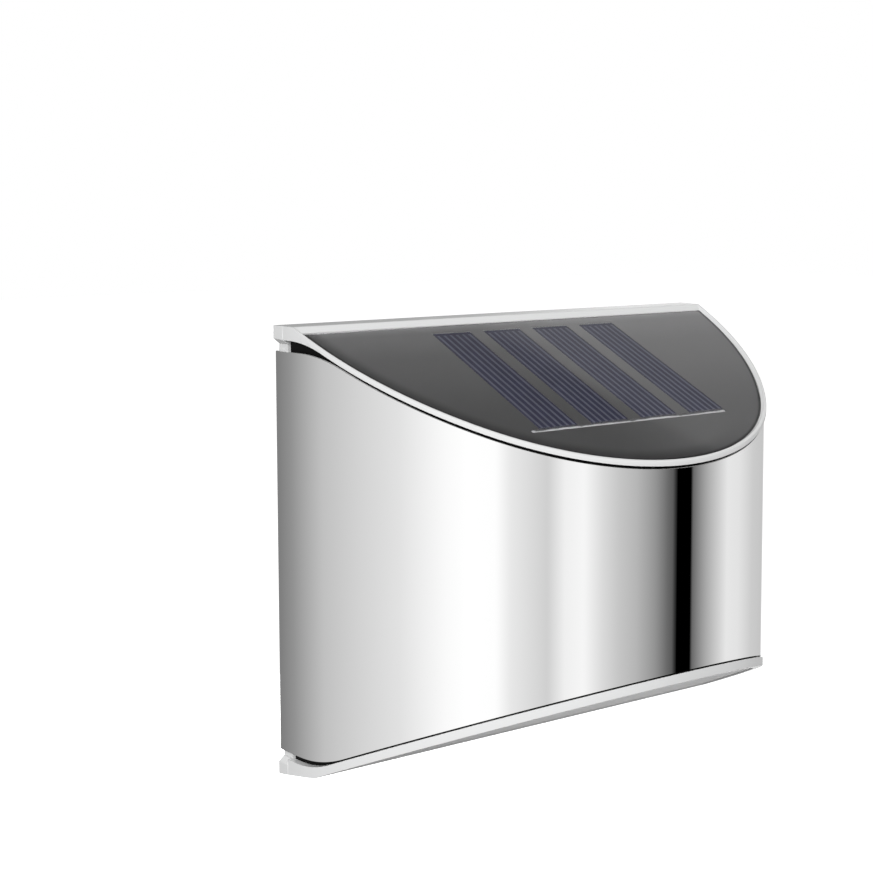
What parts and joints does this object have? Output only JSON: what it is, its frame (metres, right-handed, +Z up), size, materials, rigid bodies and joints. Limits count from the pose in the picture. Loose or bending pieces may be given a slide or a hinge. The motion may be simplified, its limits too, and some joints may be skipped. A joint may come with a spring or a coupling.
{
  "type": "solar fence light",
  "caption": "Half-round wall light with a steel shade, a tilted solar panel on top, a lens below, keyholes behind and a slide switch.",
  "frame": {"origin": "middle of the back face, on the wall", "axes": "+X along the wall, +Y into the wall, +Z up"},
  "size_m": [0.1082, 0.0611, 0.09],
  "materials": {
    "white_plastic": "satin moulded ABS, slightly translucent white",
    "black_plastic": "black moulded ABS",
    "polished_steel": "mirror-polished stainless sheet",
    "foam_tape": "black foam mounting tape",
    "seal_rubber": "black silicone",
    "smoked_cover": "smoked, glossy clear cover",
    "cell_silicon": "dark blue-violet silicon with fine lighter lines",
    "tinned_ribbon": "tinned flat ribbon",
    "panel_backing": "dark grey laminate",
    "screw_steel": "zinc-plated",
    "milky_lens": "milky diffusing polycarbonate",
    "white_reflector": "glossy white",
    "white_board": "white solder mask",
    "lamp_phosphor": "yellow phosphor lens",
    "green_board": "green solder mask",
    "chip_black": "black moulded resin",
    "copper_winding": "enamelled copper",
    "capacitor_sleeve": "dark blue sleeve",
    "battery_sleeve": "plain green shrink sleeve on a steel can",
    "spring_steel": "nickel-plated spring wire",
    "contact_brass": "plated brass",
    "switch_plastic": "grey-black nylon",
    "slider_plastic": "black nylon",
    "red_insulation": "red wire insulation",
    "black_insulation": "black wire insulation"
  },
  "bodies": {
    "light_body": {"back_plate": "white_plastic", "core_housing": "black_plastic", "top_frame": "white_plastic", "bottom_frame": "white_plastic", "steel_shade": "polished_steel", "shade_pads": "foam_tape", "top_gasket": "seal_rubber", "bottom_gasket": "seal_rubber", "rear_gasket": "seal_rubber", "panel_cover": "smoked_cover", "solar_cells": "cell_silicon", "bus_ribbon": "tinned_ribbon", "panel_board": "panel_backing", "panel_screws": "screw_steel", "light_lens": "milky_lens", "reflector": "white_reflector", "led_board": "white_board", "leds": "lamp_phosphor", "led_screws": "screw_steel", "control_board": "green_board", "control_chips": "chip_black", "inductor": "copper_winding", "capacitor": "capacitor_sleeve", "control_screws": "screw_steel", "battery": "battery_sleeve", "battery_holder": "black_plastic", "battery_spring": "spring_steel", "battery_contact": "contact_brass", "switch_body": "switch_plastic", "housing_screws": "screw_steel", "bottom_screws": "screw_steel", "red_leads": "red_insulation", "black_leads": "black_insulation"},
    "slider": {"switch_slider": "slider_plastic"}
  },
  "joints": [
    {"name": "switch_slide", "type": "slide", "parent": "light_body", "child": "slider", "axis": [1, 0, 0], "range_m": [0, 0.0025]}
  ]
}
